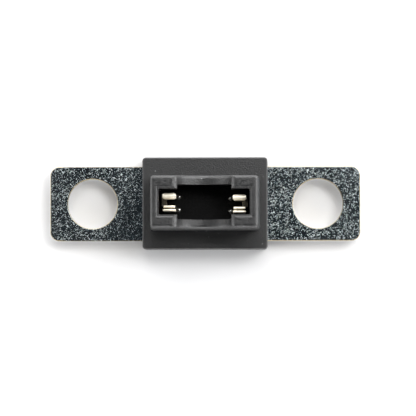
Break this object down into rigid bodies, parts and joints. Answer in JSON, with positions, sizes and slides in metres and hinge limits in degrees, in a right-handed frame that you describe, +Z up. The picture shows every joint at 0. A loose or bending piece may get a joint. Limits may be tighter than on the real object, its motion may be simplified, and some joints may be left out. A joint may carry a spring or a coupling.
{
  "type": "battery monitor shunt",
  "caption": "Small bolt-in current shunt: tinned bar with a bolt hole at each end and a black moulded body whose tall collar is an open two-pole plug socket.",
  "frame": {"origin": "centre of the body's base, on the surface it rests on", "axes": "+X along the bar to the right lug, +Y to the rear side where each pocket has its fixed prong, +Z up out of the socket"},
  "size_m": [0.0412, 0.0122, 0.0109],
  "materials": {
    "tinned_copper": "dull spangled tin plate",
    "manganin": "bare rolled alloy",
    "weld_metal": "electron-beam weld",
    "black_moulding": "fine spark-eroded moulding texture",
    "spacer_plastic": "moulded",
    "board_laminate": "black solder mask",
    "pin_brass": "bare brass",
    "solder": "soft solder",
    "chip_ceramic": "glazed ceramic",
    "capacitor_ceramic": "fired ceramic",
    "contact_plating": "bright plated spring alloy"
  },
  "bodies": {
    "shunt": {"left_lug": "tinned_copper", "right_lug": "tinned_copper", "resistance_element": "manganin", "left_weld": "weld_metal", "right_weld": "weld_metal", "lower_housing": "black_moulding", "upper_housing": "black_moulding", "board_spacer": "spacer_plastic", "sense_board": "board_laminate", "left_sense_pin": "pin_brass", "right_sense_pin": "pin_brass", "left_pin_solder": "solder", "right_pin_solder": "solder", "left_series_resistor": "chip_ceramic", "right_series_resistor": "chip_ceramic", "filter_capacitor": "capacitor_ceramic", "left_fixed_prong": "contact_plating", "right_fixed_prong": "contact_plating", "left_prong_solder": "solder", "right_prong_solder": "solder", "left_spring_base": "contact_plating", "right_spring_base": "contact_plating"},
    "left_leaf": {"left_spring_leaf": "contact_plating"},
    "right_leaf": {"right_spring_leaf": "contact_plating"}
  },
  "joints": [
    {"name": "left_leaf_flex", "type": "hinge", "parent": "shunt", "child": "left_leaf", "pos_m": [-0.0046, -0.00063, 0.00585], "axis": [1, 0, 0], "range_deg": [0, 2.2], "stiffness_Nm_per_rad": 0.15},
    {"name": "right_leaf_flex", "type": "hinge", "parent": "shunt", "child": "right_leaf", "pos_m": [0.0046, -0.00083, 0.00585], "axis": [1, 0, 0], "range_deg": [0, 2.2], "stiffness_Nm_per_rad": 0.15}
  ]
}
